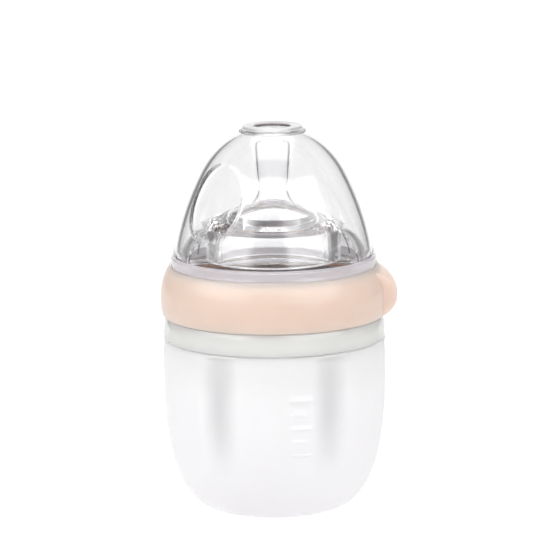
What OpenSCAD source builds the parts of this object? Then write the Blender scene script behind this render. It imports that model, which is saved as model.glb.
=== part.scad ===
// Wide-neck silicone feeding bottle: a soft cup, a hard threaded neck ring,
// a screw collar with a thumb tab, a clear teat and a clear dome cap.
// The origin is on the axis, on the surface that the bottle stands on. +Z is up,
// the thumb tab points along +X and the front of the bottle faces -Y.

/* [Silicone body] */
// Largest outer diameter of the cup
body_d = 80; // [74:0.5:96]
// Height of the cup, from the foot to its lip
body_h = 61; // [55:0.5:74]
// Straight height of the cup above its rounded base
body_straight_h = 13; // [10:0.5:16]
// Thickness of the cup's wall
body_wall = 2.7; // [2.3:0.1:3.2]
// Thickness of the cup's floor
floor_t = 3.2; // [2:0.1:4]
// Diameter of the flat foot
foot_d = 44; // [36:1:52]
// Roundness of the cup's base, where 2 is an ellipse
base_power = 2.15; // [2:0.05:2.6]
// How much the lip is drawn in at its edge
lip_draw = 0.5; // [0.2:0.1:0.8]
// Diameter of the hollow under the foot
foot_hollow_d = 30; // [20:1:34]
// Depth of the hollow under the foot
foot_hollow_depth = 0.9; // [0.4:0.1:1.2]

/* [Grip flutes] */
// Number of shallow flutes round the cup
flute_count = 6; // [4:1:8]
// Radius of the round section that leaves a flute
flute_r = 30; // [20:1:45]
// Depth of a flute at its middle
flute_depth = 1.4; // [0.6:0.1:1.5]
// Bend of a flute along its height, which makes it fade out at both ends
flute_bend_r = 220; // [160:10:260]
// Height of a flute's middle below the cup's lip
flute_drop = 21; // [18:0.5:24]
// Lean of a flute, with the wall
flute_lean = 2; // [1:0.1:3]

/* [Graduation marks] */
// Number of raised marks on the cup
mark_count = 5; // [3:1:6]
// Height of the lowest mark
mark_first_z = 26; // [24:0.5:28]
// Distance between marks
mark_step = 5; // [3:0.5:5.5]
// Thickness of a mark along the height
mark_t = 0.9; // [0.6:0.1:1.2]
// How far a mark stands out of the wall
mark_proud = 0.3; // [0.2:0.05:0.5]
// Angle that a long mark covers round the axis
mark_angle = 9; // [6:0.5:10]
// Length of a short mark as a part of a long one
short_mark = 0.6; // [0.4:0.05:0.8]
// Place of the marks round the axis, from +X
mark_azimuth = -81; // [-86:1:-79]

/* [Neck ring] */
// Height of the band that shows between cup and collar
band_h = 8; // [6:0.5:10]
// Wall of the plug that sits inside the cup
plug_wall = 2.5; // [2:0.1:3]
// How far the band lies inside the collar's outline
band_inset = 0.8; // [0.6:0.1:1.2]
// Radius of the band's crowned upper part, seen from the side
band_crown_r = 14; // [13:0.5:20]
// Height of the band's straight lower part
band_flat_h = 3; // [2.6:0.1:4]
// Depth of the plug inside the cup
plug_h = 11; // [9:0.5:12]
// Thickness of the wall that carries the outside thread
neck_wall = 3; // [2.4:0.1:3.4]
// Height of that wall above the band
neck_h = 10.9; // [10.5:0.1:12]
// Height of the shoulder inside, where the plug's bore narrows to the neck's
bore_cone_h = 4; // [3:0.5:5]

/* [Thread] */
// Rise of the thread in one turn
thread_pitch = 4; // [3.6:0.1:4.4]
// Turns of each thread
thread_turns = 1.25; // [1:0.05:1.4]
// Radial height of the thread on the neck ring
thread_depth = 1.4; // [1.2:0.1:1.5]
// Half of a thread's thickness at its foot
thread_half_foot = 1; // [0.8:0.05:1.05]
// Half of a thread's thickness at its crest
thread_half_crest = 0.5; // [0.35:0.05:0.6]
// Radial gap between a thread's crest and the wall it faces
thread_gap = 0.4; // [0.3:0.05:0.5]
// Height of the start of the neck ring's thread above the band
thread_start = 3.2; // [2.6:0.1:3.4]

/* [Collar] */
// How far the collar stands out past the cup
collar_proud = 0.2; // [0:0.05:0.6]
// Thickness of the collar's wall at its belly, in to the thread
collar_wall = 3.8; // [3.4:0.1:4.4]
// Height of the collar
collar_h = 17.6; // [17.2:0.1:18]
// How far the collar's bulged wall draws in at its top
top_draw = 3.1; // [2.4:0.1:3.4]
// How far it draws in at its foot
foot_draw = 0.6; // [0.3:0.1:0.9]
// Height of the foot of the collar's straight middle
belly_low = 4.6; // [3:0.2:6]
// Height of the top of the collar's straight middle
belly_high = 7.6; // [7:0.2:9]
// Bevel of the collar's upper and lower outer edges
hem = 0.3; // [0.2:0.1:0.4]
// Width of the lip, from the cap's seat in to the hole that the teat is pulled through
lip_w = 6.05; // [5.6:0.05:7]
// Thickness of the lip
lip_t = 2; // [1.6:0.1:2.4]
// Thickness of the collar's upper edge, outside the seat that the cap stands in
seat_edge = 0.55; // [0.5:0.05:1]
// How far the thumb tab stands out of the collar
tab_out = 3.8; // [2.5:0.1:5]
// Radius of the thumb tab's round face
tab_r = 14; // [12:0.5:17]
// Radius of the thumb tab's upper edge
tab_top_r = 11; // [9:0.25:11.5]
// Radius of the thumb tab's lower edge
tab_foot_r = 6.2; // [4:0.1:6.4]
// Height of the thumb tab's tip above the collar's foot
tab_tip_h = 6.4; // [6.4:0.1:7]
// Angle of the arc that forms the thumb tab's upper edge
tab_top_angle = 58; // [50:1:60]

/* [Teat] */
// Gap between the teat's mound and the inside of the cap's rim
mound_gap = 0.45; // [0.3:0.05:1]
// Radius of the mound's round shoulder
mound_shoulder_r = 16; // [13:0.5:18]
// Height from the lip to the shoulder's widest point
mound_side_h = 2.6; // [2:0.1:3.5]
// Slope of the mound above its shoulder
mound_slope = 23.6; // [20:0.2:26]
// Wall of the teat
teat_wall = 2; // [1.6:0.1:2.4]
// Radius of the teat's neck at its waist
waist_r = 5.7; // [5:0.1:6]
// Radius of the teat's neck below its tip
tip_r = 6.5; // [5.8:0.05:6.8]
// Fillet between the neck and the mound
flare_r = 6; // [5:0.25:7]
// Gap between the teat's tip and the underside of the cap's pad
tip_gap = 1.7; // [1.2:0.1:4]
// Rounding of the teat's tip
tip_round = 2.6; // [2:0.1:3]
// Wall of the teat's neck
neck_tube_wall = 0.9; // [0.8:0.1:1.4]
// Diameter of the feeding hole
feed_hole_d = 0.8; // [0.5:0.1:1.2]
// Width of the flange that the collar clamps
flange_w = 5.2; // [4.6:0.1:5.4]
// Thickness of the flange
flange_t = 2; // [1.6:0.1:2.2]
// Radius of the stiffening ring inside the mound
baffle_r = 24; // [22.4:0.1:25]
// Thickness of the stiffening ring
baffle_t = 3.6; // [1.6:0.1:3.8]
// Radius of the step in the mound's ceiling
ceiling_step_r = 14.2; // [12:0.1:15]
// Depth of that step's flat underside below the ceiling at the stiffening ring
shelf_drop = 0.6; // [0.3:0.1:1]
// Distance from the collar's lip up to the stiffening ring's lower edge
baffle_rise = 4; // [2:0.5:6]
// Angle of each of the four ribs between stiffening ring and shell from the X axis
rib_spread = 25; // [15:1:35]
// Thickness of a rib
rib_t = 1.8; // [1.4:0.1:2.2]
// Number of air vents in the back of the mound
vent_count = 3; // [1:1:4]
// Diameter of an air vent's pocket
vent_d = 2.2; // [1.6:0.1:2.6]
// Thickness of the skin left over an air vent
vent_skin = 0.6; // [0.4:0.1:0.8]
// Distance of the air vents from the axis
vent_r = 27.5; // [26:0.5:29]
// Angle between air vents
vent_step = 16; // [12:1:20]

/* [Cap] */
// Height of the cap, from its rim to its top
cap_h = 52; // [50.5:0.1:54]
// Wall of the dome
cap_wall = 1.9; // [1.5:0.1:2.2]
// Wall of the cap's rim
rim_wall = 2.5; // [2.2:0.05:2.6]
// Height of the cap's rim
rim_h = 5.5; // [4.6:0.1:8]
// Step from the rim in to the dome
rim_step = 0.4; // [0.2:0.05:0.6]
// Radius of the side of the dome, seen from the side
dome_side_r = 100; // [90:1:120]
// Radius of the crown of the dome, seen from the side
dome_crown_r = 35; // [34:0.5:37]
// Angle of the radius at which side and crown meet
dome_blend = 28; // [26:0.5:30]
// Angle of the dome's side where it leaves the rim
dome_base_angle = 9.8; // [9:0.2:10.6]
// Diameter of the round pad on top
pad_d = 21; // [18:0.5:23]
// How far the pad stands out past the crown of the dome
pad_overhang = 1; // [0.6:0.1:1.4]
// Diameter of the dish in the pad
dish_d = 13.2; // [9:0.2:14]
// How far the pad stands up over the crown of the dome
pad_proud = 0.34; // [0.2:0.02:0.6]
// Depth of the dish in the pad
dish_depth = 1.2; // [0.8:0.1:1.4]
// Rounding of the pad's edge
pad_round = 0.6; // [0.3:0.1:0.8]
// Place of the thumb scoop round the axis, from +X
scoop_azimuth = -135.5; // [-150:0.5:-120]
// Tilt of the thumb scoop
scoop_tilt = 23.1; // [21:0.1:26]
// How deep the thumb scoop is pressed into the dome
scoop_depth = 2.2; // [1.6:0.1:2.6]
// Radius of the hollow bend of the thumb scoop, seen from the side
scoop_bend_r = 92; // [70:1:130]

/* [Fits] */
// Radial gap between the cup and the plug
plug_gap = 0.15; // [0.1:0.05:0.3]
// Gap between cup and neck ring, and between neck ring and teat, along the axis
seat_gap = 0.15; // [0.1:0.05:0.2]
// Gap between neck ring and collar along the axis
collar_gap = 0.3; // [0.2:0.05:0.4]
// Gap round the teat in the collar
teat_gap = 0.25; // [0.2:0.05:0.4]
// Radial gap between the cap and its seat
cap_gap = 0.2; // [0.15:0.05:0.3]
// Gap under the cap's rim
cap_seat_gap = 0.2; // [0.15:0.05:0.4]

/* [Hidden] */
$fn = 144;
// Overlap between joined shapes, and how far a cutting shape reaches past what it cuts
eps = 0.01;
over = 1;
// Steps along a long arc and along a rounded edge
arc_steps = 12;
edge_steps = 6;

// Heights of the stack
band_z = body_h + seat_gap;
band_top_z = band_z + band_h;
neck_top_z = band_top_z + neck_h;
flange_z = neck_top_z + seat_gap;
lip_under_z = flange_z + flange_t + teat_gap;
lip_z = lip_under_z + lip_t;
collar_z = band_top_z + collar_gap;
collar_top_z = collar_z + collar_h;
mound_base_z = lip_z + teat_gap;
rim_z = lip_z + cap_seat_gap;
rim_top_z = rim_z + rim_h;
cap_top_z = rim_z + cap_h;
pad_under_z = cap_top_z - dish_depth - cap_wall;

// Radii of the fits
collar_r = body_d/2 + collar_proud;
plug_r = body_d/2 - body_wall - plug_gap;
band_r = collar_r - band_inset;
thread_wall_r = collar_r - collar_wall;
neck_r = thread_wall_r - thread_depth - thread_gap;
bore_r = neck_r - neck_wall;
seat_r = collar_r - top_draw - seat_edge;
rim_r = seat_r - cap_gap;
hole_r = seat_r - lip_w;
groove_r = hole_r - teat_gap;
mound_r = rim_r - rim_wall - mound_gap;
flange_r = min(groove_r + flange_w, thread_wall_r - teat_gap);

// Points of an arc about [x, y], from angle a to angle b
function arc(x, y, r, a, b, steps = arc_steps) =
    [for (i = [0:steps]) let (t = a + (b - a)*i/steps) [x + r*cos(t), y + r*sin(t)]];

// The cup's rounded base: a superellipse from the foot out to the wall
curve_h = body_h - body_straight_h;
function base_curve(r_foot, r_wall, z_low) =
    [for (i = [0:arc_steps]) let (t = 90*(1 - i/arc_steps))
        [r_foot + (r_wall - r_foot)*pow(cos(t), 2/base_power),
         curve_h - (curve_h - z_low)*pow(sin(t), 2/base_power)]];
function wall_r_at(z) =
    foot_d/2 + (body_d - foot_d)/2*pow(1 - pow((curve_h - z)/curve_h, base_power), 1/base_power);

module flute() {
    z_mid = body_h - flute_drop;
    sweep = 12;
    translate([wall_r_at(z_mid) - flute_depth, 0, z_mid])
        rotate([0, flute_lean, 0])
            translate([flute_bend_r + flute_r, 0, 0])
                rotate([90, 0, 0])
                    rotate([0, 0, 180 - sweep/2])
                        rotate_extrude(angle = sweep)
                            translate([flute_bend_r, 0])
                                circle(flute_r);
}

module graduation_marks() {
    for (i = [0:mark_count - 1]) {
        z = mark_first_z + i*mark_step;
        long = (i % 2 == 0) ? 1 : short_mark;
        rotate([0, 0, mark_azimuth])
            rotate_extrude(angle = mark_angle*long)
                translate([wall_r_at(z) - body_wall/2, z - mark_t/2])
                    square([body_wall/2 + mark_proud, mark_t]);
    }
}

// Moulded soft cup that holds the milk
module silicone_body() {
    r_out = body_d/2;
    r_in = r_out - body_wall;
    color([0.97, 0.96, 0.98, 0.8])
    difference() {
        union() {
            difference() {
                rotate_extrude()
                    polygon(concat([[0, 0]], base_curve(foot_d/2, r_out, 0),
                        [[r_out, body_h - body_straight_h/3], [r_out - lip_draw, body_h], [0, body_h]]));
                for (i = [0:flute_count - 1])
                    rotate([0, 0, 360*i/flute_count])
                        flute();
            }
            graduation_marks();
        }
        rotate_extrude()
            polygon(concat([[0, floor_t]], base_curve(foot_d/2, r_in, floor_t),
                [[r_in, body_h + over], [0, body_h + over]]));
        translate([0, 0, -over])
            cylinder(d = foot_hollow_d, h = over + foot_hollow_depth);
    }
}

// One thread: a trapezoid swept up a right-hand helix. The foot is sunk into its wall,
// and both ends run out into it.
thread_sink = 0.35;
steps_per_turn = 40;
run_out_steps = 5;
run_out_h = 0.1;
module thread(r_wall, height, z_low) {
    out = sign(height);
    steps = round(thread_turns*steps_per_turn);
    r_foot = r_wall - out*thread_sink;
    sections = [for (i = [0:steps])
        let (full = min(1, min(i, steps - i)/run_out_steps),
             r_crest = r_foot + out*(run_out_h + (abs(height) + thread_sink - run_out_h)*full))
        [[r_foot, -thread_half_foot], [r_crest, -thread_half_crest],
         [r_crest, thread_half_crest], [r_foot, thread_half_foot]]
    ];
    points = [for (i = [0:steps]) for (p = sections[i])
        [p.x*cos(360*i/steps_per_turn), p.x*sin(360*i/steps_per_turn),
         z_low + thread_pitch*i/steps_per_turn + p.y]];
    sides = [for (i = [0:steps - 1]) for (k = [0:3])
        let (a = 4*i + k, b = 4*i + (k + 1) % 4)
        each [[a, a + 4, b], [b, a + 4, b + 4]]];
    ends = [[0, 1, 2], [0, 2, 3], [4*steps + 2, 4*steps + 1, 4*steps], [4*steps + 3, 4*steps + 2, 4*steps]];
    faces = concat(sides, ends);
    polyhedron(points, out < 0 ? faces : [for (f = faces) [f[2], f[1], f[0]]]);
}

// Hard ring: its plug grips the cup and its neck carries the outside thread
module neck_ring() {
    edge = 0.6;
    cone_z = band_top_z - bore_cone_h;
    crown_angle = asin((band_h - band_flat_h)/band_crown_r);
    color([0.88, 0.89, 0.85, 0.8])
    union() {
        rotate_extrude()
            polygon([
                [plug_r - plug_wall, band_z - plug_h], [plug_r - edge, band_z - plug_h],
                [plug_r, band_z - plug_h + 2*edge], [plug_r, band_z],
                [band_r - edge, band_z], [band_r, band_z + edge],
                each arc(band_r - band_crown_r, band_z + band_flat_h, band_crown_r, 0, crown_angle, edge_steps),
                [neck_r, band_top_z], [neck_r, neck_top_z - edge],
                [neck_r - edge, neck_top_z], [bore_r, neck_top_z],
                [bore_r, band_top_z], [plug_r - plug_wall, cone_z]
            ]);
        thread(neck_r, thread_depth, band_top_z + thread_start);
    }
}

// Outline of the collar's bulged outside, in to the axis
module collar_outline() {
    top_h = collar_h - belly_high;
    top_r = (top_h*top_h + top_draw*top_draw)/(2*top_draw);
    foot_r = (belly_low*belly_low + foot_draw*foot_draw)/(2*foot_draw);
    polygon(concat([[0, collar_z], [collar_r - foot_draw - hem, collar_z]],
        arc(collar_r - foot_r, collar_z + belly_low, foot_r, -asin(belly_low/foot_r) + hem, 0, edge_steps),
        arc(collar_r - top_r, collar_z + belly_high, top_r, 0, asin(top_h/top_r) - hem),
        [[collar_r - top_draw - hem, collar_top_z], [0, collar_top_z]]));
}

module thumb_tab() {
    tip_x = collar_r + tab_out;
    tip_z = collar_z + tab_tip_h;
    intersection() {
        translate([tip_x - tab_r, 0, collar_z])
            cylinder(r = tab_r, h = collar_h);
        rotate_extrude()
            polygon(concat([[hole_r, tip_z - tab_foot_r]],
                arc(tip_x - tab_foot_r, tip_z, tab_foot_r, -90, 0),
                arc(tip_x - tab_top_r, tip_z, tab_top_r, 0, tab_top_angle),
                [[hole_r, tip_z + tab_top_r*sin(tab_top_angle)]]));
    }
}

// Screw collar that clamps the teat on the neck ring
module collar() {
    lead_in = 0.6;
    color([0.93, 0.80, 0.73])
    union() {
        difference() {
            union() {
                rotate_extrude()
                    collar_outline();
                thumb_tab();
            }
            translate([0, 0, collar_z - over])
                cylinder(r = thread_wall_r, h = lip_under_z - collar_z + over);
            translate([0, 0, collar_z - eps])
                cylinder(r1 = thread_wall_r + lead_in, r2 = thread_wall_r, h = lead_in);
            translate([0, 0, lip_under_z - over])
                cylinder(r = hole_r, h = lip_t + 2*over);
            translate([0, 0, lip_z])
                cylinder(r = seat_r, h = collar_top_z);
        }
        thread(thread_wall_r, -thread_depth, band_top_z + thread_start - thread_pitch/2);
    }
}

// The teat's outline above the lip, grown inwards by a wall t, from the base to the neck
mound_top_z = mound_base_z + mound_side_h;
shoulder_x = mound_r - mound_shoulder_r;
tangent_x = shoulder_x + mound_shoulder_r*sin(mound_slope);
tangent_z = mound_top_z + mound_shoulder_r*cos(mound_slope);
flare_x = waist_r + flare_r;
flare_z = tangent_z + (flare_r + (tangent_x - flare_x)*sin(mound_slope))/cos(mound_slope);
teat_top_z = pad_under_z - tip_gap;
function mound_curve(t) = concat(
    arc(shoulder_x, mound_top_z, mound_shoulder_r - t, 0, 90 - mound_slope),
    arc(flare_x, flare_z, flare_r + t, 270 - mound_slope, 180));

// Height of the mound's inner skin where it is a straight cone
function ceiling_z(x) = tangent_z + (tangent_x - x)*tan(mound_slope) - teat_wall/cos(mound_slope);

module teat_shell() {
    neck_top = teat_top_z - tip_round;
    // The inner fillet stops short of the mound's ceiling, so that the two do not cross
    flare_trim = 12;
    rotate_extrude()
        polygon(concat(
            [[groove_r - teat_wall, flange_z], [flange_r, flange_z], [flange_r, flange_z + flange_t],
             [groove_r, flange_z + flange_t], [groove_r, mound_base_z], [mound_r, mound_base_z]],
            mound_curve(0),
            arc(tip_r - tip_round, neck_top, tip_round, 0, 90, edge_steps),
            [[feed_hole_d/2, teat_top_z], [feed_hole_d/2, teat_top_z - neck_tube_wall]],
            arc(tip_r - tip_round, neck_top, tip_round - neck_tube_wall, 90, 0, edge_steps),
            arc(flare_x, flare_z, flare_r + neck_tube_wall, 180, 270 - mound_slope - flare_trim),
            arc(shoulder_x, mound_top_z, mound_shoulder_r - teat_wall, 90 - mound_slope, 0),
            [[groove_r - teat_wall, mound_base_z + teat_wall/2]]));
}

// Everything inside the mound's skin, from the stiffening ring's lower edge upwards
module mound_filling() {
    rotate_extrude()
        polygon(concat([[0, mound_base_z + baffle_rise], [mound_r - teat_wall/2, mound_base_z + baffle_rise]],
            [for (p = mound_curve(teat_wall/2)) if (p.y > mound_base_z + baffle_rise && p.x > waist_r) p],
            [[0, flare_z - flare_r]]));
}

module stiffening_ring() {
    shelf_z = ceiling_z(baffle_r - baffle_t) - shelf_drop;
    intersection() {
        mound_filling();
        union() {
            difference() {
                cylinder(r = baffle_r, h = teat_top_z);
                translate([0, 0, -over])
                    cylinder(r = baffle_r - baffle_t, h = teat_top_z + 2*over);
            }
            rotate_extrude()
                polygon([[baffle_r - baffle_t + eps, shelf_z], [ceiling_step_r, shelf_z],
                    [ceiling_step_r, teat_top_z], [baffle_r - baffle_t + eps, teat_top_z]]);
            for (turn = [rib_spread, 180 - rib_spread, 180 + rib_spread, -rib_spread])
                rotate([0, 0, turn])
                    translate([baffle_r - baffle_t/2, -rib_t/2, 0])
                        cube([mound_r - baffle_r, rib_t, teat_top_z]);
        }
    }
}

module air_vents() {
    for (i = [0:vent_count - 1])
        rotate([0, 0, 90 + vent_step*(i - (vent_count - 1)/2)])
            translate([shoulder_x, 0, mound_top_z])
                rotate([0, asin((vent_r - shoulder_x)/mound_shoulder_r), 0])
                    translate([0, 0, mound_shoulder_r - teat_wall - over])
                        cylinder(d = vent_d, h = teat_wall + over - vent_skin);
}

// Soft clear teat, pulled through the collar's hole
module teat() {
    color([0.9, 0.92, 0.93, 0.5])
    difference() {
        union() {
            teat_shell();
            stiffening_ring();
        }
        air_vents();
    }
}

// The dome's outline, with its skin grown inwards by t
dome_x = rim_r - rim_step - dome_side_r*cos(dome_base_angle);
dome_z = rim_top_z - dome_side_r*sin(dome_base_angle);
crown_x = dome_x + (dome_side_r - dome_crown_r)*cos(dome_blend);
crown_z = dome_z + (dome_side_r - dome_crown_r)*sin(dome_blend);
function crown_end(t) = acos((pad_d/2 - pad_overhang - crown_x)/(dome_crown_r - t));

// The dome is stretched upwards to reach the pad
stretch = (cap_top_z - pad_proud - rim_top_z)/(crown_z + dome_crown_r*sin(crown_end(0)) - rim_top_z);
function lifted(z) = rim_top_z + (z - rim_top_z)*stretch;
function dome_curve(t) = [for (p = concat(
    arc(dome_x, dome_z, dome_side_r - t, dome_base_angle, dome_blend),
    arc(crown_x, crown_z, dome_crown_r - t, dome_blend, crown_end(t)))) [p.x, lifted(p.y)]];

// Tool that leaves the thumb scoop, grown by t for the skin inside
module thumb_scoop(t) {
    rotate([0, 0, scoop_azimuth])
        translate([dome_side_r*cos(scoop_tilt) + dome_x, 0, lifted(dome_z + dome_side_r*sin(scoop_tilt))])
            rotate([90, -scoop_tilt, 0])
                translate([scoop_bend_r - scoop_depth, 0, 0])
                    cylinder(r = scoop_bend_r + t, h = 2*body_d, center = true);
}

// Clear dome that stands in the collar's seat
module cap() {
    // The thick rim steps in to the dome's wall a little above the rim's own step
    inner_step_z = rim_top_z + 0.5;
    inner_slope_h = 0.6;
    pad_h = cap_top_z - pad_under_z;
    color([0.92, 0.92, 0.95, 0.4])
    difference() {
        union() {
            difference() {
                rotate_extrude()
                    polygon(concat([[0, rim_z], [rim_r, rim_z], [rim_r, rim_top_z]],
                        dome_curve(0), [[0, cap_top_z - pad_proud]]));
                thumb_scoop(0);
            }
            translate([0, 0, pad_under_z])
                rotate_extrude()
                    polygon(concat([[0, 0], [pad_d/2, 0]],
                        arc(pad_d/2 - pad_round, pad_h - pad_round, pad_round, 0, 90, edge_steps), [[0, pad_h]]));
        }
        difference() {
            rotate_extrude()
                polygon(concat([[0, inner_step_z - over], [rim_r - rim_wall, inner_step_z - over],
                    [rim_r - rim_wall, inner_step_z]],
                    [for (p = dome_curve(cap_wall)) if (p.y > inner_step_z + inner_slope_h && p.y < pad_under_z) p],
                    [[pad_d/2 - 2*pad_overhang, pad_under_z], [0, pad_under_z]]));
            thumb_scoop(cap_wall);
        }
        translate([0, 0, rim_z - over])
            cylinder(r = rim_r - rim_wall, h = inner_step_z - rim_z + over);
        translate([0, 0, cap_top_z - dish_depth])
            cylinder(d = dish_d, h = dish_depth + over);
    }
}

silicone_body();
neck_ring();
collar();
teat();
cap();
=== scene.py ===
import math

import bmesh
import bpy
from mathutils import Matrix, Vector


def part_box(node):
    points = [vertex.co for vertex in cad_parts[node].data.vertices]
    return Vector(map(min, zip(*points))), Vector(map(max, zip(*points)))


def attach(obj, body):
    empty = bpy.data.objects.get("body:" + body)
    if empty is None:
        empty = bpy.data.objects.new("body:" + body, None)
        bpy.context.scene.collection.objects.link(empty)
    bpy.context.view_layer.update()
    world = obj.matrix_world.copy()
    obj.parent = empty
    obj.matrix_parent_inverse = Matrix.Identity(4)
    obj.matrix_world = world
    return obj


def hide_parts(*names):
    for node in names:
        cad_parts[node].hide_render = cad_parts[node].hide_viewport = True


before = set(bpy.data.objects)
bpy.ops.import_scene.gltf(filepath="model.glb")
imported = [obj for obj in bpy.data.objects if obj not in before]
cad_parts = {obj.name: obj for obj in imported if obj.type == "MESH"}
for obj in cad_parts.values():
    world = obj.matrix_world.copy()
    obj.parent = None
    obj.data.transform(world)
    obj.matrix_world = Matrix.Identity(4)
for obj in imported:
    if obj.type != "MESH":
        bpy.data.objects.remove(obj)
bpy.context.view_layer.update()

MM = 0.001


# ---------------------------------------------------------------------------
# Silicone cup: one soft, milky moulding with a rounded base and six shallow
# upright flutes for grip. It is a thick-walled lathe shape whose skin is
# pressed in at the flutes, and raised bars mark the filling heights.
# ---------------------------------------------------------------------------
def arc(x, z, radius, start, end, steps):
    """Points of an arc in the profile plane, angles in degrees."""
    turn = [math.radians(start + (end - start) * i / steps) for i in range(steps + 1)]
    return [(x + radius * math.cos(t), z + radius * math.sin(t)) for t in turn]


def straight(a, b, steps):
    """Points from a towards b, without b, so that a long wall has rows to shape."""
    return [(a[0] + (b[0] - a[0]) * i / steps, a[1] + (b[1] - a[1]) * i / steps) for i in range(steps)]


def lathe(outline, spans=((360, 192),), closed=True):
    """A bmesh turned round the Z axis from (radius, height) points, in spans of (degrees, steps)."""
    bm = bmesh.new()
    ring = [bm.verts.new((x, 0, z)) for x, z in outline]
    for a, b in zip(ring, ring[1:]):
        bm.edges.new((a, b))
    if closed:
        bm.edges.new((ring[-1], ring[0]))
    last = bm.verts[:] + bm.edges[:]
    for degrees, steps in spans:
        turned = bmesh.ops.spin(bm, geom=last, cent=(0, 0, 0), axis=(0, 0, 1), dvec=(0, 0, 0),
                                angle=math.radians(degrees), steps=steps)
        last = turned["geom_last"]
    bmesh.ops.remove_doubles(bm, verts=bm.verts[:], dist=1e-7)
    bmesh.ops.recalc_face_normals(bm, faces=bm.faces[:])
    return bm


def finish_piece(bm, name, body, replaced, materials, crease=38):
    """Shades the mesh smooth up to a crease angle and hangs it on its body."""
    for face in bm.faces:
        face.smooth = True
    for edge in bm.edges:
        if len(edge.link_faces) == 2 and edge.calc_face_angle(0) > math.radians(crease):
            edge.smooth = False
    mesh = bpy.data.meshes.new(name)
    bm.to_mesh(mesh)
    bm.free()
    piece = bpy.data.objects.new(name, mesh)
    bpy.context.scene.collection.objects.link(piece)
    for material in materials:
        mesh.materials.append(material)
    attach(piece, body)
    if replaced:
        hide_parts(replaced)
    return piece


def new_material(name):
    """A Principled material with its tree, and a helper that adds nodes to it."""
    material = bpy.data.materials.new(name)
    material.use_nodes = True
    tree = material.node_tree
    shader = tree.nodes["Principled BSDF"]

    def add(kind, **values):
        node = tree.nodes.new(kind)
        for key, value in values.items():
            if key in node.inputs:
                node.inputs[key].default_value = value
            else:
                setattr(node, key, value)
        return node

    return material, tree, shader, add


def object_coordinates(tree, add):
    return add("ShaderNodeTexCoord").outputs["Object"]


def fine_bump(tree, add, shader, scale, strength, distance=0.0002):
    """Small surface grain in object coordinates."""
    noise = add("ShaderNodeTexNoise", Scale=scale, Detail=3.0, Roughness=0.55)
    tree.links.new(object_coordinates(tree, add), noise.inputs["Vector"])
    bump = add("ShaderNodeBump", Strength=strength, Distance=distance)
    tree.links.new(noise.outputs["Fac"], bump.inputs["Height"])
    tree.links.new(bump.outputs["Normal"], shader.inputs["Normal"])


def milky_silicone():
    material, tree, shader, add = new_material("milky_silicone")
    noise = add("ShaderNodeTexNoise", Scale=38.0, Detail=2.0, Roughness=0.5)
    ramp = add("ShaderNodeValToRGB")
    ramp.color_ramp.elements[0].color = (0.955, 0.860, 1.0, 1)
    ramp.color_ramp.elements[1].color = (0.975, 0.890, 1.0, 1)
    tree.links.new(object_coordinates(tree, add), noise.inputs["Vector"])
    tree.links.new(noise.outputs["Fac"], ramp.inputs["Fac"])
    tree.links.new(ramp.outputs["Color"], shader.inputs["Base Color"])
    shader.inputs["Roughness"].default_value = 0.42
    shader.inputs["IOR"].default_value = 1.41
    shader.inputs["Subsurface Weight"].default_value = 1.0
    shader.inputs["Subsurface Radius"].default_value = (1.0, 0.97, 1.0)
    shader.inputs["Subsurface Scale"].default_value = 0.012
    fine_bump(tree, add, shader, 900.0, 0.06)
    return material


cup_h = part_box("silicone_body")[1].z
cup_r = 40.0 * MM
cup_wall = 2.7 * MM
cup_floor = 3.2 * MM
cup_foot_r = 22.0 * MM
cup_curve_h = cup_h - 13.0 * MM
cup_power = 2.15
cup_lip_draw = 0.5 * MM
foot_hollow_r = 15.0 * MM
foot_hollow_depth = 0.9 * MM
flute_depth = 1.25 * MM
flute_half_angle = 11.5
flute_middle = cup_h - 19.0 * MM
flute_half_height = 25.0 * MM


def base_curve(foot, wall_r, z_low, steps=40):
    """The rounded base: a superellipse from the foot out to the wall."""
    points = []
    for i in range(steps + 1):
        t = math.radians(90 * (1 - i / steps))
        points.append((foot + (wall_r - foot) * math.cos(t) ** (2 / cup_power),
                       cup_curve_h - (cup_curve_h - z_low) * math.sin(t) ** (2 / cup_power)))
    return points


def cup_wall_r(z):
    """Radius of the outer wall at a height, before the flutes."""
    u = max(0.0, (cup_curve_h - z) / cup_curve_h)
    return cup_foot_r + (cup_r - cup_foot_r) * (1 - u ** cup_power) ** (1 / cup_power)


def flute_press(angle, z):
    """How far the wall is pressed in at a place: deepest in each flute's middle."""
    off = abs((math.degrees(angle) + 30) % 60 - 30) / flute_half_angle
    up = abs(z - flute_middle) / flute_half_height
    if off >= 1 or up >= 1:
        return 0.0
    across = math.cos(off * math.pi / 2) ** 1.4
    along = (1 - up ** 2) ** 1.1
    return flute_depth * across * along


lip = 0.6 * MM
mark_first_z = 26.0 * MM
mark_step = 5.0 * MM
marks = [mark_first_z + mark_step * i for i in range(5)]
mark_half_t = 0.45 * MM
mark_ramp = 0.12 * MM
mark_proud = 0.3 * MM
mark_start = -81
mark_length = 9.1
short_mark_length = 6.1
mark_rows = [(cup_wall_r(level + up), level + up) for level in marks
             for up in (-mark_half_t - mark_ramp, -mark_half_t, mark_half_t, mark_half_t + mark_ramp)]
outer = sorted(base_curve(cup_foot_r, cup_r, 0) + mark_rows, key=lambda p: p[1])
neck_in = (cup_r - cup_lip_draw * 0.2, cup_h - 4.0 * MM)
outer += straight((cup_r, cup_curve_h), neck_in, 6)[1:]
outer += straight(neck_in, (cup_r - cup_lip_draw, cup_h - lip), 4)
outer += arc(cup_r - cup_lip_draw - lip, cup_h - lip, lip, 0, 90, 5)
inner_r = cup_r - cup_wall
inner = [(inner_r, cup_h), (inner_r, cup_h - 4 * MM)]
inner += base_curve(cup_foot_r, inner_r, cup_floor)[::-1]
foot = [(0, foot_hollow_depth), (foot_hollow_r, foot_hollow_depth), (foot_hollow_r + 0.6 * MM, 0.0)]
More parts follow.
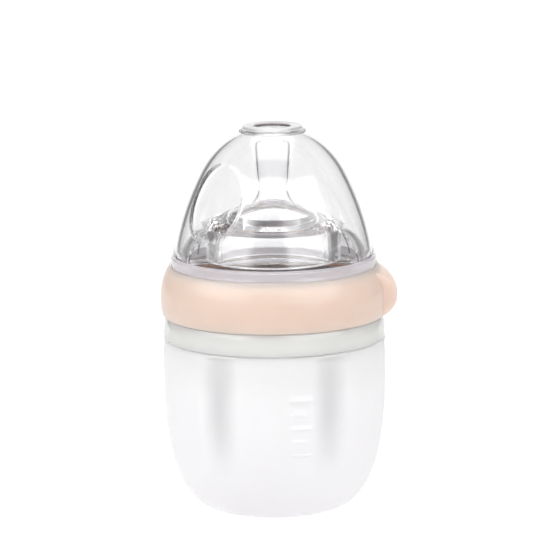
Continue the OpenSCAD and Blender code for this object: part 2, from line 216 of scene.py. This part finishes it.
cup = lathe(foot + outer + inner + [(0, cup_floor)], spans=((360, 240),), closed=False)
for vert in cup.verts:
    r = math.hypot(vert.co.x, vert.co.y)
    on_wall = r > cup_foot_r and r > cup_wall_r(vert.co.z) - cup_lip_draw - 0.1 * MM
    if on_wall and vert.co.z < cup_h - 2 * lip:
        angle = math.atan2(vert.co.y, vert.co.x)
        new_r = r - flute_press(angle, vert.co.z)
        along = math.degrees(angle) - mark_start
        for i, level in enumerate(marks):
            length = mark_length if i % 2 == 0 else short_mark_length
            if abs(vert.co.z - level) < mark_half_t + 0.01 * MM and -0.1 < along < length:
                new_r += mark_proud
        vert.co.x *= new_r / r
        vert.co.y *= new_r / r
finish_piece(cup, "cup", "cup", "silicone_body", [milky_silicone()])


# ---------------------------------------------------------------------------
# Neck ring: a hard, glossy, faintly green translucent moulding. Its plug sits
# inside the cup, its band shows between cup and collar, and its neck carries
# the outside thread. The neck, which stands in shade inside the collar, gets a
# whiter, warmer copy of the band's plastic: painted light that lifts it.
# ---------------------------------------------------------------------------
def helix_thread(bm, wall_r, height, z_low):
    """A thread swept up a right-hand helix, with both ends run out into the wall."""
    steps = round(thread_turns * steps_per_turn)
    foot_r = wall_r - math.copysign(0.3 * MM, height)
    half_foot, half_crest = 1.0 * MM, 0.5 * MM
    rows = []
    for i in range(steps + 1):
        angle = math.tau * i / steps_per_turn
        z = z_low + thread_pitch * i / steps_per_turn
        runout = max(0.1, min(1, i / runout_steps, (steps - i) / runout_steps))
        crest_r = foot_r + (wall_r + height - foot_r) * runout
        section = [(foot_r, -half_foot), (crest_r, -half_crest), (crest_r, half_crest), (foot_r, half_foot)]
        rows.append([bm.verts.new((r * math.cos(angle), r * math.sin(angle), z + up))
                     for r, up in section])
    for low, high in zip(rows, rows[1:]):
        for k in range(4):
            bm.faces.new((low[k], high[k], high[(k + 1) % 4], low[(k + 1) % 4]))
    bm.faces.new(rows[0])
    bm.faces.new(rows[-1][::-1])
    bmesh.ops.recalc_face_normals(bm, faces=bm.faces[:])


def hard_translucent(name, haze, color):
    """Hard translucent plastic, where haze is the part of the light that it scatters."""
    material, tree, shader, add = new_material(name)
    shader.inputs["Base Color"].default_value = color
    shader.inputs["Roughness"].default_value = 0.08
    shader.inputs["IOR"].default_value = 1.5
    shader.inputs["Transmission Weight"].default_value = 1 - haze
    shader.inputs["Subsurface Weight"].default_value = 0.8
    shader.inputs["Subsurface Radius"].default_value = (1.0, 1.0, 0.9)
    shader.inputs["Subsurface Scale"].default_value = 0.006
    fine_bump(tree, add, shader, 60.0, 0.02)
    return material


ring_low, ring_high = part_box("neck_ring")
thread_turns = 1.25
steps_per_turn = 96
runout_steps = 10
thread_pitch = 4.0 * MM
thread_depth = 1.4 * MM
band_r = ring_high.y
band_low = cup_h + 0.15 * MM
band_high = band_low + 8.0 * MM
plug_r = cup_r - cup_wall - 0.15 * MM
plug_bore_r = plug_r - 2.5 * MM
neck_r = 34.6 * MM
neck_bore_r = neck_r - 3.0 * MM
edge = 0.5 * MM
band_crown_r = 14.0 * MM
band_crown_angle = 19.5
ring_outline = (
    [(plug_bore_r, ring_low.z), (plug_r - edge, ring_low.z), (plug_r, ring_low.z + 2 * edge),
     (plug_r, band_low)]
    + arc(band_r - edge, band_low + edge, edge, -90, 0, 5)
    + arc(band_r - band_crown_r, band_low + 3.0 * MM, band_crown_r, 0, band_crown_angle, 14)
    + [(band_r - 1.1 * MM, band_high), (neck_r, band_high)]
    + arc(neck_r - edge, ring_high.z - edge, edge, 0, 90, 5)
    + arc(neck_bore_r + edge, ring_high.z - edge, edge, 90, 180, 5)
    + [(neck_bore_r, band_high), (plug_bore_r, band_high - 4.0 * MM)]
)
ring = lathe(ring_outline)
helix_thread(ring, neck_r, thread_depth, band_high + 3.2 * MM)
# Faces above the band take the neck's lighter copy of the plastic, painted light for the shaded inside of
# the collar.
for face in ring.faces:
    face.material_index = 0 if face.calc_center_median().z < band_high - 0.05 * MM else 1
finish_piece(ring, "threaded_ring", "neck", "neck_ring",
             [hard_translucent("translucent_ring", 0.6, (0.87, 0.88, 0.84, 1)),
              hard_translucent("neck_painted_lighter", 0.45, (0.97, 0.95, 0.92, 1))])


# ---------------------------------------------------------------------------
# Collar: satin peach plastic, screwed onto the neck ring. Its lip clamps the
# teat's flange, the cap stands in the seat above the lip, and one rounded
# thumb tab is moulded onto its side.
# ---------------------------------------------------------------------------
def peach_plastic():
    material, tree, shader, add = new_material("peach_collar")
    noise = add("ShaderNodeTexNoise", Scale=24.0, Detail=2.0, Roughness=0.5)
    ramp = add("ShaderNodeValToRGB")
    ramp.color_ramp.elements[0].color = (0.66, 0.485, 0.405, 1)
    ramp.color_ramp.elements[1].color = (0.69, 0.520, 0.445, 1)
    tree.links.new(object_coordinates(tree, add), noise.inputs["Vector"])
    tree.links.new(noise.outputs["Fac"], ramp.inputs["Fac"])
    tree.links.new(ramp.outputs["Color"], shader.inputs["Base Color"])
    shader.inputs["Roughness"].default_value = 0.3
    shader.inputs["IOR"].default_value = 1.47
    shader.inputs["Subsurface Weight"].default_value = 1.0
    shader.inputs["Subsurface Radius"].default_value = (1.0, 0.9, 0.85)
    shader.inputs["Subsurface Scale"].default_value = 0.012
    fine_bump(tree, add, shader, 1100.0, 0.05)
    return material


collar_low, collar_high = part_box("collar")
collar_top = collar_high.z
collar_foot = collar_low.z
belly_r = collar_high.y - 0.02 * MM
belly_low = 4.6 * MM
belly_high = 7.6 * MM
top_draw = 3.1 * MM
foot_draw = 0.6 * MM
hem = 0.3 * MM
hem_angle = 0.9
seat_edge_angle = 1.2
soft_edge = 0.3 * MM
thread_wall_r = 36.4 * MM
lip_t = 2.0 * MM
tab_tip = collar_high.x
tab_face_r = 14.0 * MM
tab_top_r = 11.0 * MM
tab_foot_r = 6.2 * MM
tab_tip_z = collar_foot + 6.4 * MM
tab_half_angle = 0.6
tab_fillet = 0.6 * MM
cap_low, cap_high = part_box("cap")
lip_top = cap_low.z - 0.2 * MM
rim_r = cap_high.y
seat_r = rim_r + 0.2 * MM
hole_r = seat_r - 6.05 * MM
top_h = collar_top - collar_foot - belly_high
top_bend = (top_h ** 2 + top_draw ** 2) / (2 * top_draw)
foot_bend = (belly_low ** 2 + foot_draw ** 2) / (2 * foot_draw)
top_angle = math.degrees(math.asin(top_h / top_bend))
foot_angle = math.degrees(math.asin(belly_low / foot_bend))
collar_outline = (
    [(thread_wall_r + 0.6 * MM, collar_foot), (belly_r - foot_draw - hem, collar_foot)]
    + arc(belly_r - foot_bend, collar_foot + belly_low, foot_bend, hem_angle - foot_angle, 0, 12)
    + arc(belly_r - top_bend, collar_foot + belly_high, top_bend, 0, top_angle - seat_edge_angle, 30)
    + [(seat_r + 0.15 * MM, collar_top), (seat_r, collar_top - 0.15 * MM)]
    + [(seat_r, lip_top), (hole_r + soft_edge, lip_top), (hole_r, lip_top - soft_edge),
       (hole_r, lip_top - lip_t + soft_edge), (hole_r + soft_edge, lip_top - lip_t),
       (thread_wall_r, lip_top - lip_t), (thread_wall_r, collar_foot + 0.6 * MM)]
)


def soft_max(a, b, blend):
    """The larger of two lengths, with a fillet of about blend where they meet."""
    h = max(0.0, blend - abs(a - b)) / blend
    return max(a, b) + h * h * blend / 4


def tab_reach(angle, z):
    """Radius of the thumb tab's skin at a place, or 0 beside it."""
    centre = tab_tip - tab_face_r
    root = tab_face_r ** 2 - (centre * math.sin(angle)) ** 2
    if root <= 0 or abs(angle) > tab_half_angle:
        return 0.0
    face = centre * math.cos(angle) + math.sqrt(root)
    rise = z - tab_tip_z
    edge_r = tab_top_r if rise > 0 else tab_foot_r
    side = tab_tip - edge_r + math.sqrt(max(0.0, edge_r ** 2 - rise ** 2))
    return min(face, side) if abs(rise) < edge_r else 0.0


collar = lathe(collar_outline, spans=((24, 80), (312, 156), (24, 80)))
for vert in collar.verts:
    r = math.hypot(vert.co.x, vert.co.y)
    if r > seat_r + 0.3 * MM:
        reach = tab_reach(math.atan2(vert.co.y, vert.co.x), vert.co.z)
        if reach > 0:
            new_r = min(tab_tip, soft_max(r, reach, tab_fillet))
            vert.co.x *= new_r / r
            vert.co.y *= new_r / r
helix_thread(collar, thread_wall_r, -thread_depth, band_high + 1.2 * MM)
finish_piece(collar, "screw_collar", "collar", "collar", [peach_plastic()])


# ---------------------------------------------------------------------------
# Teat: one piece of clear silicone, pulled through the collar's hole. It has
# a clamped flange, a groove round the lip, a wide mound and a long neck, and
# a ribbed ring inside the mound keeps it from collapsing.
# ---------------------------------------------------------------------------
def clear_silicone():
    material, tree, shader, add = new_material("clear_silicone")
    shader.inputs["Base Color"].default_value = (0.985, 0.985, 0.99, 1)
    shader.inputs["Roughness"].default_value = 0.03
    shader.inputs["IOR"].default_value = 1.41
    shader.inputs["Transmission Weight"].default_value = 1.0
    fine_bump(tree, add, shader, 120.0, 0.03)
    return material


def carve(bm, tools, operation):
    """The mesh joined with the tool solids, or cut by them."""
    parts = []
    for name, part in (("work", bm), ("tools", tools)):
        mesh = bpy.data.meshes.new(name)
        part.to_mesh(mesh)
        part.free()
        parts.append(bpy.data.objects.new(name, mesh))
        bpy.context.scene.collection.objects.link(parts[-1])
    modifier = parts[0].modifiers.new("carve", "BOOLEAN")
    modifier.operation = operation
    modifier.solver = "EXACT"
    modifier.object = parts[1]
    result = bmesh.new()
    result.from_mesh(parts[0].evaluated_get(bpy.context.evaluated_depsgraph_get()).to_mesh())
    for part in parts:
        bpy.data.meshes.remove(part.data)
    return result


teat_low, teat_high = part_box("teat")
teat_gap = 0.25 * MM
groove_r = hole_r - teat_gap
mound_r = rim_r - 2.95 * MM
mound_base = lip_top + teat_gap
shoulder_r = 16.0 * MM
mound_slope = 23.6
teat_wall = 2.0 * MM
waist_r = 5.7 * MM
tip_r = 6.5 * MM
flare_r = 6.0 * MM
tube_wall = 0.9 * MM
tip_round = 2.6 * MM
feed_hole_r = 0.4 * MM
flange_t = 2.0 * MM
flange_r = teat_high.y
shoulder_x = mound_r - shoulder_r
shoulder_z = mound_base + 2.6 * MM
slope = math.radians(mound_slope)
tangent_x = shoulder_x + shoulder_r * math.sin(slope)
tangent_z = shoulder_z + shoulder_r * math.cos(slope)
flare_x = waist_r + flare_r
flare_z = tangent_z + (flare_r + (tangent_x - flare_x) * math.sin(slope)) / math.cos(slope)
top = teat_high.z
neck_top = top - tip_round
baffle_r = 24.0 * MM
baffle_t = 3.6 * MM
baffle_low = mound_base + 4.0 * MM


def under_mound(x):
    """Height of the mound's inner skin at a radius."""
    if x > shoulder_x + (shoulder_r - teat_wall) * math.sin(slope):
        return shoulder_z + math.sqrt((shoulder_r - teat_wall) ** 2 - (x - shoulder_x) ** 2)
    return tangent_z + (tangent_x - x) * math.tan(slope) - teat_wall / math.cos(slope)


baffle_in = baffle_r - baffle_t
shelf = under_mound(baffle_in) - 0.6 * MM
step_r = 14.2 * MM
skin_out = arc(shoulder_x, shoulder_z, shoulder_r, 0, 90 - mound_slope, 28)
skin_in = arc(shoulder_x, shoulder_z, shoulder_r - teat_wall, 90 - mound_slope, 0, 28)
ceiling = [(step_r, under_mound(step_r)), (step_r, shelf + soft_edge), (step_r + soft_edge, shelf),
           (baffle_in - soft_edge, shelf), (baffle_in, shelf - soft_edge)]
baffle = (arc(baffle_in + 0.6 * MM, baffle_low + 0.6 * MM, 0.6 * MM, 180, 270, 5)
          + arc(baffle_r - 0.6 * MM, baffle_low + 0.6 * MM, 0.6 * MM, 270, 360, 5)
          + [(baffle_r, under_mound(baffle_r))])
teat_outline = (
    [(groove_r - teat_wall, teat_low.z), (flange_r - soft_edge, teat_low.z),
     (flange_r, teat_low.z + soft_edge), (flange_r, teat_low.z + flange_t - soft_edge),
     (flange_r - soft_edge, teat_low.z + flange_t), (groove_r, teat_low.z + flange_t),
     (groove_r, mound_base), (mound_r - soft_edge, mound_base), (mound_r, mound_base + soft_edge)]
    + skin_out
    + arc(flare_x, flare_z, flare_r, 270 - mound_slope, 180, 16)
    + arc(tip_r - tip_round, neck_top, tip_round, 0, 90, 12)
    + [(feed_hole_r, top), (feed_hole_r, top - tube_wall)]
    + arc(tip_r - tip_round, neck_top, tip_round - tube_wall, 90, 0, 6)
    + arc(flare_x, flare_z, flare_r + tube_wall, 180, 258 - mound_slope, 16)
    + ceiling + baffle + [p for p in skin_in if p[0] > baffle_r]
    + [(groove_r - teat_wall, mound_base + teat_wall / 2)]
)
rib_t = 1.8 * MM
rib_in = baffle_r - 1.0 * MM
rib_line = ([(rib_in, baffle_low), (mound_r - teat_wall / 2, baffle_low)]
            + [p for p in arc(shoulder_x, shoulder_z, shoulder_r - teat_wall / 2, 0, 90 - mound_slope, 16)
               if p[0] > rib_in and p[1] > baffle_low]
            + [(rib_in, under_mound(rib_in) + teat_wall / 2)])
rib_angles = (25, 155, 205, 335)
rib_tools = bmesh.new()
for degrees in rib_angles:
    turn = Matrix.Rotation(math.radians(degrees), 4, "Z")
    near = [rib_tools.verts.new(turn @ Vector((x, -rib_t / 2, z))) for x, z in rib_line]
    rib = bmesh.ops.extrude_face_region(rib_tools, geom=[rib_tools.faces.new(near)])
    far = [part for part in rib["geom"] if isinstance(part, bmesh.types.BMVert)]
    bmesh.ops.translate(rib_tools, verts=far, vec=turn @ Vector((0, rib_t, 0)))
bmesh.ops.recalc_face_normals(rib_tools, faces=rib_tools.faces[:])
vent_tools = bmesh.new()
vent_ring_r = 27.5 * MM
vent_r = 1.1 * MM
vent_depth = 2.4 * MM
vent_height = shoulder_r - teat_wall + 0.2 * MM
vent_lean = math.asin((vent_ring_r - shoulder_x) / shoulder_r)
for degrees in (74, 90, 106):
    place = (Matrix.Rotation(math.radians(degrees), 4, "Z")
             @ Matrix.Translation((shoulder_x, 0, shoulder_z))
             @ Matrix.Rotation(vent_lean, 4, "Y") @ Matrix.Translation((0, 0, vent_height)))
    bmesh.ops.create_cone(vent_tools, cap_ends=True, segments=24, radius1=vent_r, radius2=vent_r,
                          depth=vent_depth, matrix=place)
teat = carve(carve(lathe(teat_outline), rib_tools, "UNION"), vent_tools, "DIFFERENCE")
finish_piece(teat, "soft_teat", "teat", "teat", [clear_silicone()])


# ---------------------------------------------------------------------------
# Cap: a clear hard dome with a thick rim that stands in the collar's seat. It
# has one thumb scoop on the front left and a dished round pad on top.
# ---------------------------------------------------------------------------
def clear_plastic(name, color, roughness=0.01, transmission=1.0):
    material, tree, shader, add = new_material(name)
    shader.inputs["Base Color"].default_value = color
    shader.inputs["Roughness"].default_value = roughness
    shader.inputs["IOR"].default_value = 1.49
    shader.inputs["Transmission Weight"].default_value = transmission
    fine_bump(tree, add, shader, 60.0, 0.01)
    return material


cap_wall = 1.9 * MM
rim_wall = 2.5 * MM
rim_h = 5.5 * MM
rim_step = 0.4 * MM
side_r = 100.0 * MM
crown_r = 35.0 * MM
base_angle = 9.8
blend_angle = 28.0
pad_r = 10.5 * MM
dish_r = 6.6 * MM
dish_depth = 1.2 * MM
rim_top = cap_low.z + rim_h
dome_x = rim_r - rim_step - side_r * math.cos(math.radians(base_angle))
dome_z = rim_top - side_r * math.sin(math.radians(base_angle))
crown_x = dome_x + (side_r - crown_r) * math.cos(math.radians(blend_angle))
crown_z = dome_z + (side_r - crown_r) * math.sin(math.radians(blend_angle))
under_pad = cap_high.z - dish_depth - cap_wall
crown_end = math.acos((pad_r - 1.0 * MM - crown_x) / crown_r)
stretch = (cap_high.z - 0.34 * MM - rim_top) / (crown_z + crown_r * math.sin(crown_end) - rim_top)


def lifted(z):
    """Height on the dome once it is stretched upwards to reach the pad."""
    return rim_top + (z - rim_top) * stretch


def dome(inset, steps=44):
    """The dome's skin from the rim up to the pad, inset by a wall."""
    end = math.degrees(math.acos((pad_r - crown_x) / (crown_r - inset)))
    skin = (arc(dome_x, dome_z, side_r - inset, base_angle, blend_angle, steps)
            + arc(crown_x, crown_z, crown_r - inset, blend_angle, end, steps)[1:])
    return [(x, lifted(z)) for x, z in skin]


outer_skin = dome(0)
inner_skin = [p for p in dome(cap_wall) if p[1] > rim_top + 1.2 * MM and p[1] < under_pad][::-1]
pad_edge = 0.5 * MM
cap_outline = (
    [(rim_r - rim_wall, cap_low.z + soft_edge), (rim_r - rim_wall + soft_edge, cap_low.z),
     (rim_r - soft_edge, cap_low.z)]
    + [(rim_r, cap_low.z + soft_edge), (rim_r, rim_top - 0.2 * MM), (rim_r - 0.2 * MM, rim_top)]
    + outer_skin
    + arc(pad_r - pad_edge, cap_high.z - pad_edge, pad_edge, 0, 90, 5)
    + arc(dish_r + 0.4 * MM, cap_high.z - 0.4 * MM, 0.4 * MM, 90, 180, 5)
    + [(dish_r, cap_high.z - dish_depth), (0, cap_high.z - dish_depth)]
    + [(0, under_pad), (pad_r - 2 * MM, under_pad)]
    + inner_skin
    + [(rim_r - rim_wall, rim_top + soft_edge)]
)
scoop_azimuth = math.radians(-135.5)
scoop_tilt = math.radians(23.1)
scoop_depth = 2.2 * MM
groove_depth = 0.3 * MM
groove_half = 0.07 * MM
scoop_bend_r = 92.0 * MM
scoop_out = Vector((math.cos(scoop_azimuth) * math.cos(scoop_tilt),
                    math.sin(scoop_azimuth) * math.cos(scoop_tilt), math.sin(scoop_tilt)))
scoop_up = Vector((-math.cos(scoop_azimuth) * math.sin(scoop_tilt),
                   -math.sin(scoop_azimuth) * math.sin(scoop_tilt), math.cos(scoop_tilt)))
scoop_reach = dome_x + side_r * math.cos(scoop_tilt)
scoop_foot = Vector((math.cos(scoop_azimuth) * scoop_reach, math.sin(scoop_azimuth) * scoop_reach,
                     lifted(dome_z + side_r * math.sin(scoop_tilt))))


def skin_depth(co):
    """Depth of a point below the dome's outer skin."""
    r, z = math.hypot(co.x, co.y), rim_top + (co.z - rim_top) / stretch
    if math.degrees(math.atan2(z - dome_z, r - dome_x)) < blend_angle:
        return side_r - math.hypot(r - dome_x, z - dome_z)
    return crown_r - math.hypot(r - crown_x, z - crown_z)


# The lathe's steps are finest where the scoop is pressed in, and the scoop's
# edge carries a fine groove.
cap = lathe(cap_outline, spans=((190, 95), (69, 210), (101, 50)))
for vert in cap.verts:
    if vert.co.z < rim_top + 2 * MM or vert.co.z > cap_high.z - 8 * MM:
        continue
    away = vert.co - scoop_foot
    outside = skin_depth(vert.co) < cap_wall / 2
    below = 0 if outside else cap_wall
    bend = scoop_bend_r + below
    floor = bend - scoop_depth - below - math.sqrt(max(0, bend ** 2 - away.dot(scoop_up) ** 2))
    reach = away.dot(scoop_out)
    groove = groove_depth * max(0, 1 - abs(reach - floor) / groove_half) if outside else 0
    vert.co -= scoop_out * (max(0, reach - floor) + groove)
for face in cap.faces:
    middle = face.calc_center_median()
    if middle.z < rim_top + 0.4 * MM:
        face.material_index = 1
    elif middle.z > cap_high.z - 1.0 * MM and math.hypot(middle.x, middle.y) > dish_r:
        face.material_index = 2
finish_piece(cap, "dome_cap", "cap", "cap",
             [clear_plastic("clear_cap", (0.972, 0.972, 0.974, 1)),
              clear_plastic("hazy_rim", (0.95, 0.92, 0.955, 1), 0.18, 0.68),
              clear_plastic("frosted_pad", (0.93, 0.93, 0.94, 1), 0.35, 0.7)])


# ---------------------------------------------------------------------------
# Studio: a pale floor that sweeps up behind the bottle, two tall soft boxes
# at the sides, one above, and a long lens a little above the bottle.
# ---------------------------------------------------------------------------
scene = bpy.context.scene
scene.view_settings.view_transform = "Standard"
scene.view_settings.look = "None"

sweep_half = 0.55
sweep_flat = 1.0
sweep_bend = 0.35
sweep_bm = bmesh.new()
sweep_line = ([(-0.75, 0.0), (sweep_flat, 0.0)]
              + arc(sweep_flat, sweep_bend, sweep_bend, -84, 0, 14)
              + [(sweep_flat + sweep_bend, 2.2)])
line = [sweep_bm.verts.new((-sweep_half, y, z)) for y, z in sweep_line]
for a, b in zip(line, line[1:]):
    sweep_bm.edges.new((a, b))
wide = bmesh.ops.extrude_edge_only(sweep_bm, edges=sweep_bm.edges[:])
moved = [part for part in wide["geom"] if isinstance(part, bmesh.types.BMVert)]
bmesh.ops.translate(sweep_bm, verts=moved, vec=(2 * sweep_half, 0, 0))
bmesh.ops.recalc_face_normals(sweep_bm, faces=sweep_bm.faces[:])
for face in sweep_bm.faces:
    face.smooth = True
sweep_mesh = bpy.data.meshes.new("sweep")
sweep_bm.to_mesh(sweep_mesh)
sweep_bm.free()
sweep = bpy.data.objects.new("sweep", sweep_mesh)
scene.collection.objects.link(sweep)
material, tree, shader, add = new_material("pale_floor")
shader.inputs["Base Color"].default_value = (0.12, 0.12, 0.12, 1)
shader.inputs["Roughness"].default_value = 0.9
shader.inputs["Specular IOR Level"].default_value = 0.0
shader.inputs["Emission Color"].default_value = (1, 1, 1, 1)
shader.inputs["Emission Strength"].default_value = 0.95
sweep_mesh.materials.append(material)


def soft_box(name, place, aim, size, strength):
    """A diffuser panel that glows evenly in its middle and fades out to its edges."""
    bm = bmesh.new()
    bmesh.ops.create_grid(bm, x_segments=1, y_segments=1, size=1)
    bmesh.ops.scale(bm, vec=(size[0] / 2, size[1] / 2, 1), verts=bm.verts[:])
    mesh = bpy.data.meshes.new(name)
    bm.to_mesh(mesh)
    bm.free()
    material, tree, shader, add = new_material(name)
    axes = add("ShaderNodeSeparateXYZ")
    tree.links.new(object_coordinates(tree, add), axes.inputs["Vector"])
    fade = add("ShaderNodeMath", operation="MULTIPLY")
    for k, axis in enumerate(("X", "Y")):
        away = add("ShaderNodeMath", operation="ABSOLUTE")
        ease = add("ShaderNodeMapRange", interpolation_type="SMOOTHSTEP")
        ease.inputs["From Min"].default_value = size[k] / 2
        ease.inputs["From Max"].default_value = size[k] / 2 * 0.6
        tree.links.new(axes.outputs[axis], away.inputs[0])
        tree.links.new(away.outputs["Value"], ease.inputs["Value"])
        tree.links.new(ease.outputs["Result"], fade.inputs[k])
    tree.nodes.remove(shader)
    mix = add("ShaderNodeMixShader")
    tree.links.new(fade.outputs["Value"], mix.inputs["Fac"])
    tree.links.new(add("ShaderNodeBsdfTransparent").outputs["BSDF"], mix.inputs[1])
    tree.links.new(add("ShaderNodeEmission", Strength=strength).outputs["Emission"], mix.inputs[2])
    tree.links.new(mix.outputs["Shader"], tree.nodes["Material Output"].inputs["Surface"])
    mesh.materials.append(material)
    panel = bpy.data.objects.new(name, mesh)
    panel.location = place
    panel.visible_camera = False
    panel.rotation_euler = (Vector(aim) - Vector(place)).to_track_quat("-Z", "Y").to_euler()
    scene.collection.objects.link(panel)
    return panel


middle = (0, 0, 0.07)
soft_box("left_box", (-1.0, -0.64, 0.73), middle, (1.9, 1.0), 4.0)
soft_box("right_box", (0.88, -0.88, 0.73), middle, (1.8, 1.0), 4.2)
soft_box("front_box", (0, -1.1, 1.1), middle, (1.55, 0.65), 2.8)
soft_box("top_box", (0, 0.2, 1.73), middle, (1.6, 1.6), 3.6)

world = bpy.data.worlds.new("studio")
scene.world = world
world.use_nodes = True
world.node_tree.nodes["Background"].inputs["Color"].default_value = (1, 1, 1, 1)
world.node_tree.nodes["Background"].inputs["Strength"].default_value = 0.24
scene.cycles.max_bounces = 64
scene.cycles.transmission_bounces = 64
scene.cycles.glossy_bounces = 64
scene.cycles.diffuse_bounces = 12
scene.cycles.transparent_max_bounces = 16
scene.cycles.sample_clamp_indirect = 8.0
scene.cycles.caustics_reflective = True
scene.cycles.caustics_refractive = True

elevation = math.radians(11)
roll = math.radians(0.55)
distance = 1.15
view_width = 0.1992
sensor_width = 36
aim = Vector((0.0022, 0, 0.081))
camera_data = bpy.data.cameras.new("camera")
camera_data.lens = sensor_width * distance / view_width
camera_data.sensor_width = sensor_width
camera_data.clip_end = 20
camera = bpy.data.objects.new("camera", camera_data)
camera.location = aim + Vector((0, -math.cos(elevation), math.sin(elevation))) * distance
look = (aim - camera.location).to_track_quat("-Z", "Y").to_matrix().to_4x4()
camera.matrix_world = Matrix.Translation(camera.location) @ look @ Matrix.Rotation(-roll, 4, "Z")
scene.collection.objects.link(camera)
scene.camera = camera
